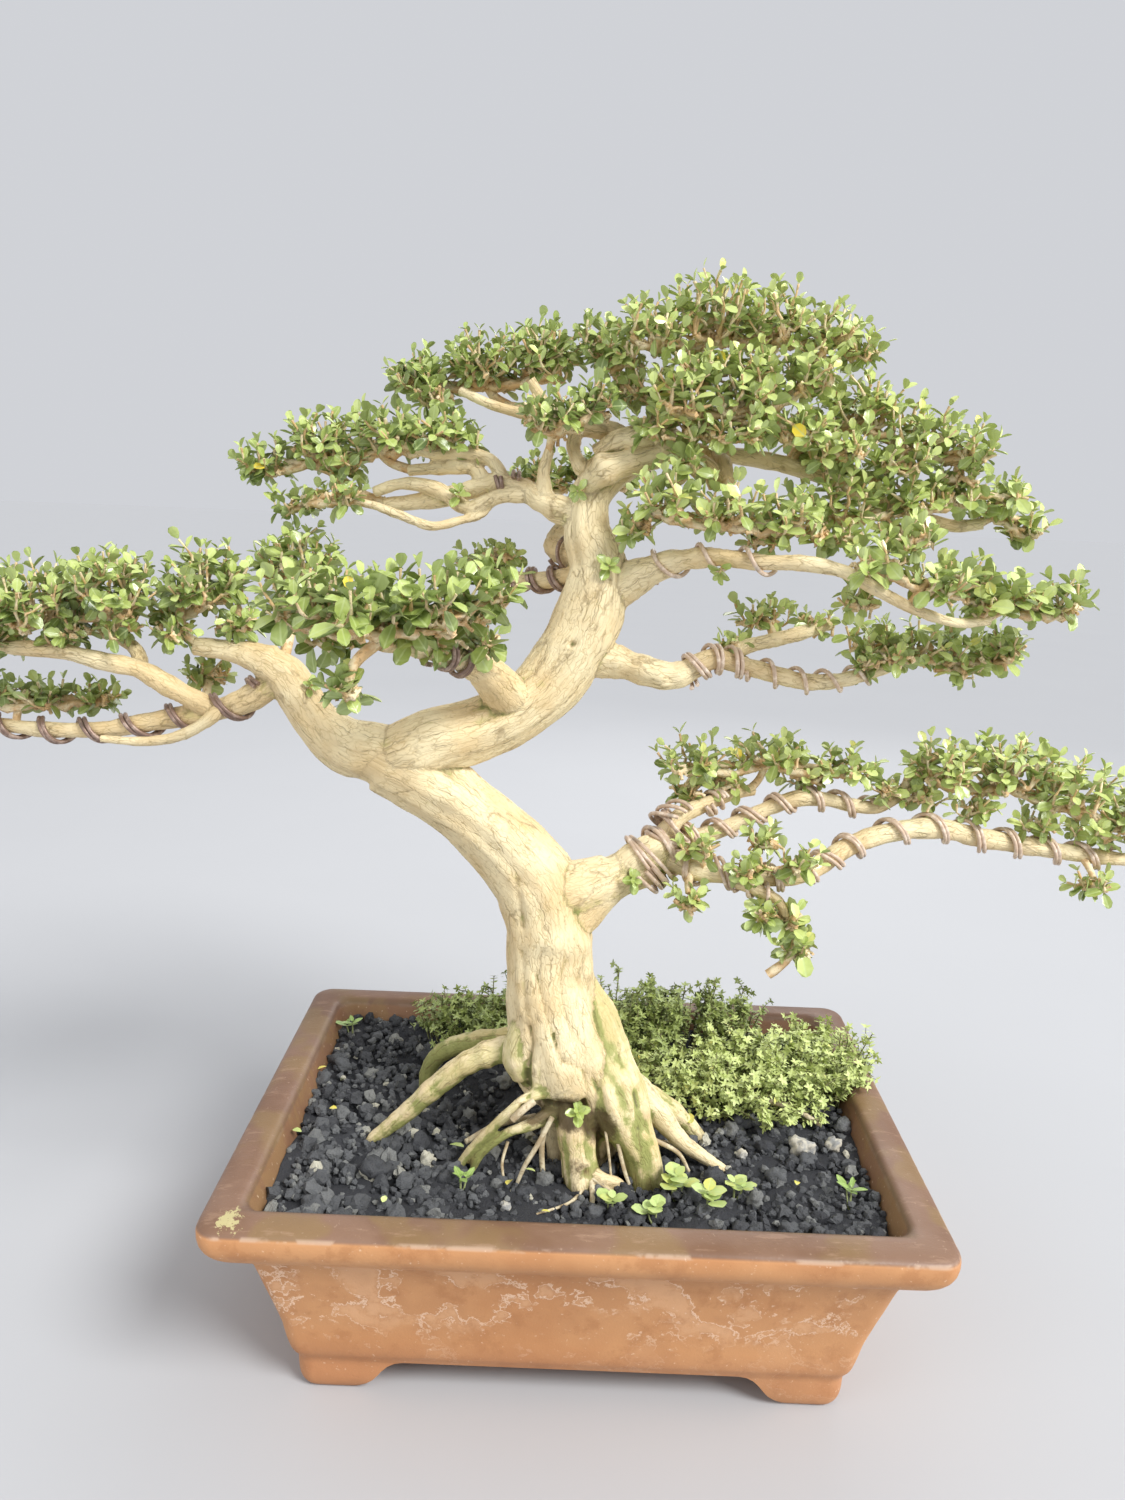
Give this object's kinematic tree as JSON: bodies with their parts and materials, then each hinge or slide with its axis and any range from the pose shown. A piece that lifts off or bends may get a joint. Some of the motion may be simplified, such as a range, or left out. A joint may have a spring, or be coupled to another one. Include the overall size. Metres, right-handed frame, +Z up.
{
  "type": "premna bonsai",
  "caption": "Bonsai tree with a curved pale trunk, wired branches and pads of small leaves, growing in dark grit in a footed rectangular terracotta pot.",
  "frame": {"origin": "middle of the whole plant's box in plan, at the underside of the pot's feet", "axes": "+X to the right of the front view, +Y away from the viewer, +Z up the trunk"},
  "size_m": [1.1444, 0.4876, 0.9607],
  "materials": {
    "pot": "unglazed brown-orange terracotta, matt, with pale mineral bloom",
    "screen": "dark plastic mesh",
    "soil": "loose dark lava grit",
    "bark": "pale cream bark with fine upright cracks",
    "wire": "brown anodised training wire, satin",
    "leaf": "glossy green leaves on thin tan twigs",
    "cover": "fine feathery green ground cover",
    "seedling": "soft light green seedling leaves"
  },
  "bodies": {
    "root": {"pot": "pot", "drainScreen1": "screen", "drainScreen2": "screen", "soil": "soil", "tree": "bark", "wireLeftLow": "wire", "wireFrontLeft": "wire", "wireThinBack": "wire", "wireRear": "wire", "wireUpperLeft": "wire", "wireRightMiddle": "wire", "wireRightLower": "wire", "wireBottomRight": "wire", "wireBottomRightBack": "wire", "wireBottomRightFront": "wire", "wireBottomRightEnd": "wire", "sprayLeftFar": "leaf", "sprayLeftMiddle": "leaf", "sprayLeftRear": "leaf", "sprayLeftLow": "leaf", "sprayLeftInner": "leaf", "sprayFrontLeft": "leaf", "sprayThinBack": "leaf", "sprayRear": "leaf", "sprayUpperLeft": "leaf", "sprayUpperLeftLow": "leaf", "sprayTopLeft": "leaf", "sprayTopMiddle": "leaf", "sprayCentre": "leaf", "sprayApex": "leaf", "sprayApexFront": "leaf", "sprayRightUpper": "leaf", "sprayRightMiddle": "leaf", "sprayRightTip": "leaf", "sprayRightCentre": "leaf", "sprayMiddleEnd": "leaf", "sprayMiddleTip": "leaf", "sprayLowerEnd": "leaf", "sprayLowerFork": "leaf", "sprayBottomLeft": "leaf", "sprayBottomFar": "leaf", "sprayBottomInner": "leaf", "sprayBottomUnder": "leaf", "sprayHanging": "leaf", "sprayHangingSmall": "leaf", "groundCoverLeft": "cover", "groundCoverRear": "cover", "groundCoverRight": "cover", "seedlingA": "seedling", "seedlingB": "seedling", "seedlingC": "seedling", "seedlingD": "seedling", "seedlingE": "seedling", "weedLeft": "seedling", "weedRight": "seedling", "weedCorner": "seedling"}
  },
  "joints": []
}
